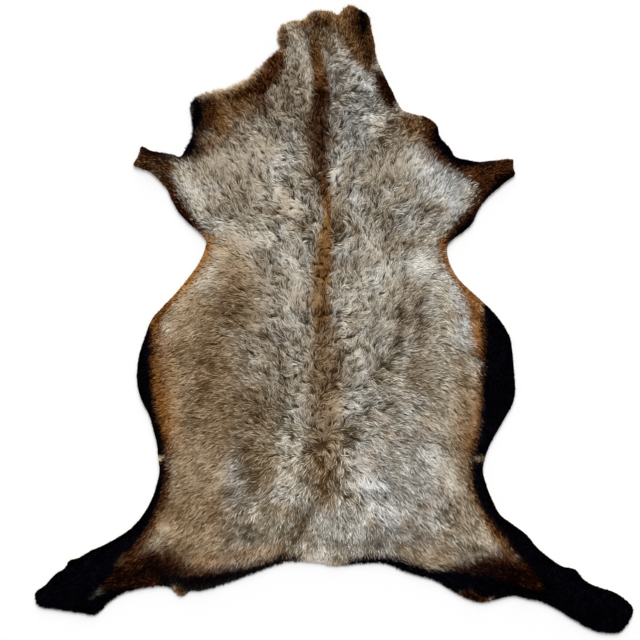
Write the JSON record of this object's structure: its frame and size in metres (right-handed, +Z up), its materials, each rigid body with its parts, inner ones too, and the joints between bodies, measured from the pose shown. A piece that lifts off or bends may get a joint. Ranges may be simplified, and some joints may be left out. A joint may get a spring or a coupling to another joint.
{
  "type": "hair-on hide rug",
  "caption": "Natural sheepskin rug: one short-haired whole hide laid flat, with neck, forelegs, hind legs and an uneven furry rim.",
  "frame": {"origin": "on the floor, under the line of the back, half way along the hide", "axes": "+Y towards the neck, +Z up from the floor through the hair, +X to the right in the picture"},
  "size_m": [0.8961, 0.9451, 0.0161],
  "materials": {
    "coat": "short soft natural hair, salt-and-pepper grey to black, on a tanned suede skin"
  },
  "bodies": {
    "root": {"hide": "coat"}
  },
  "joints": []
}
